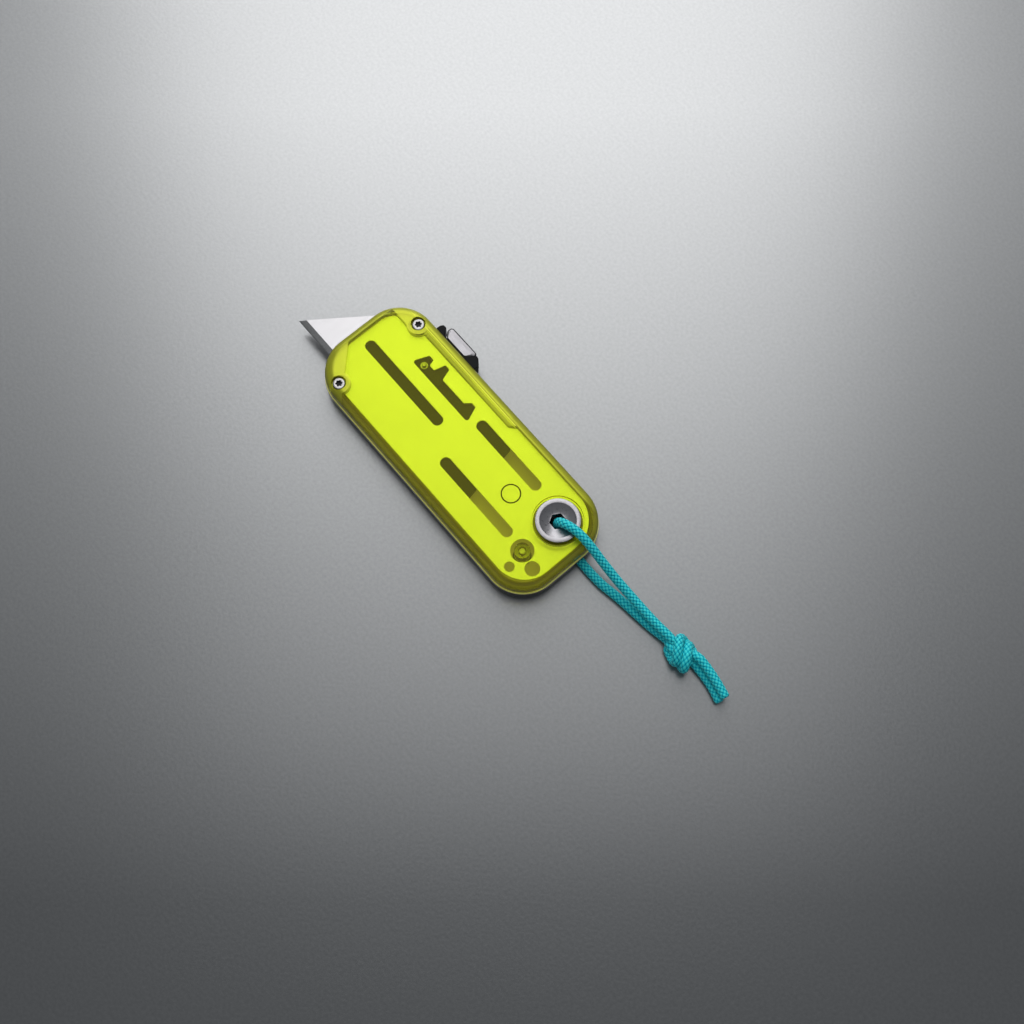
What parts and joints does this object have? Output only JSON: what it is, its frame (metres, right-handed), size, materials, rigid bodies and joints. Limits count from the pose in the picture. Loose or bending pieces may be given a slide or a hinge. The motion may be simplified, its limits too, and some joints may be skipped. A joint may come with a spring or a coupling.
{
  "type": "utility knife",
  "caption": "Slim pocket utility knife with a translucent handle, a retracting trapezoid blade, a thumb slider and a knotted cord through a hollow bolt.",
  "frame": {"origin": "middle of the handle's flat back face", "axes": "+X towards the blade's tip, +Y towards the cutting edge, the slider button on the -Y side, +Z out of the front face with the two screw heads"},
  "size_m": [0.1428, 0.0351, 0.0121],
  "materials": {
    "shell": "satin translucent",
    "liner": "brushed",
    "blade_steel": "ground",
    "black_plastic": "matte",
    "pad_metal": "satin",
    "steel": "polished",
    "brass": "machined",
    "cord": "braided"
  },
  "bodies": {
    "handle": {"front_shell": "shell", "back_shell": "shell", "front_liner": "liner", "back_liner": "liner", "upper_guide_rail": "black_plastic", "lower_guide_rail": "black_plastic", "screw_front_top": "steel", "screw_front_bottom": "steel", "insert_front_top": "brass", "insert_front_bottom": "brass", "eyelet_bolt": "steel", "eyelet_nut": "steel", "locating_pin": "steel", "cord_upper_leg": "cord", "cord_lower_leg": "cord", "cord_knot": "cord", "cord_upper_tail": "cord", "cord_lower_tail": "cord"},
    "carriage": {"blade": "blade_steel", "blade_carrier": "black_plastic", "carrier_cover": "black_plastic", "carrier_rivet_front": "steel", "carrier_rivet_rear": "steel", "button_spring": "steel"},
    "button": {"slider_button": "black_plastic", "slider_pad": "pad_metal", "detent_pin": "steel"}
  },
  "joints": [
    {"name": "blade_slide", "type": "slide", "parent": "handle", "child": "carriage", "axis": [-1, 0, 0], "range_m": [0, 0.0162]},
    {"name": "button_press", "type": "slide", "parent": "carriage", "child": "button", "axis": [0, 1, 0], "range_m": [0, 0.0008], "stiffness_N_per_m": 1500, "springref_m": -0.001, "deforming": ["button_spring"]}
  ]
}
